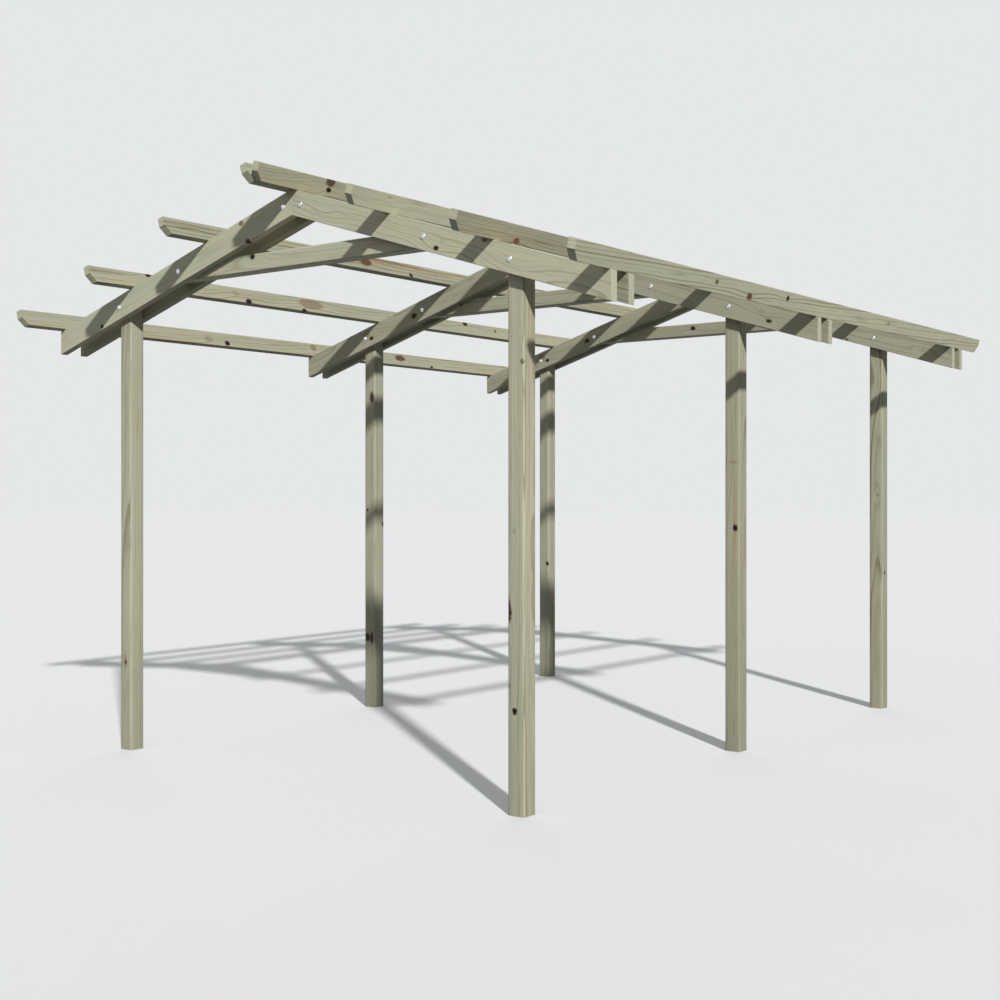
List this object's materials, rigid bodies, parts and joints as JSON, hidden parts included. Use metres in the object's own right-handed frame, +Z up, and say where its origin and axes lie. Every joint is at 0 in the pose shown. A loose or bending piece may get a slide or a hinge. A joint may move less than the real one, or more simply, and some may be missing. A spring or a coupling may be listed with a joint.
{
  "type": "timber carport frame",
  "caption": "Open pitched-roof carport frame of treated softwood: square posts clasped by paired rafter boards, with collar ties and purlins ready for a roof covering.",
  "frame": {"origin": "on the ground below the middle of the ridge, centred between the posts", "axes": "+Z up, +Y along the ridge towards the rear frame, +X to the right seen from the front"},
  "size_m": [3.824, 4.74, 3.0307],
  "materials": {
    "post": "planed pressure-treated pine, matt",
    "rafter": "planed pressure-treated pine, matt",
    "tie": "planed pressure-treated pine, matt",
    "purlin": "planed pressure-treated pine, matt",
    "bolt": "bright zinc plate, satin"
  },
  "bodies": {
    "root": {"post_front_left": "post", "post_front_right": "post", "post_middle_left": "post", "post_middle_right": "post", "post_rear_left": "post", "post_rear_right": "post", "rafter_front_left_fore": "rafter", "rafter_front_left_aft": "rafter", "rafter_front_right_fore": "rafter", "rafter_front_right_aft": "rafter", "rafter_middle_left_fore": "rafter", "rafter_middle_left_aft": "rafter", "rafter_middle_right_fore": "rafter", "rafter_middle_right_aft": "rafter", "rafter_rear_left_fore": "rafter", "rafter_rear_left_aft": "rafter", "rafter_rear_right_fore": "rafter", "rafter_rear_right_aft": "rafter", "collar_tie_front": "tie", "collar_tie_middle": "tie", "collar_tie_rear": "tie", "ridge_block_front": "tie", "ridge_block_middle": "tie", "ridge_block_rear": "tie", "purlin_left_ridge": "purlin", "purlin_left_upper": "purlin", "purlin_left_lower": "purlin", "purlin_left_eaves": "purlin", "purlin_right_ridge": "purlin", "purlin_right_upper": "purlin", "purlin_right_lower": "purlin", "purlin_right_eaves": "purlin"}
  },
  "joints": []
}
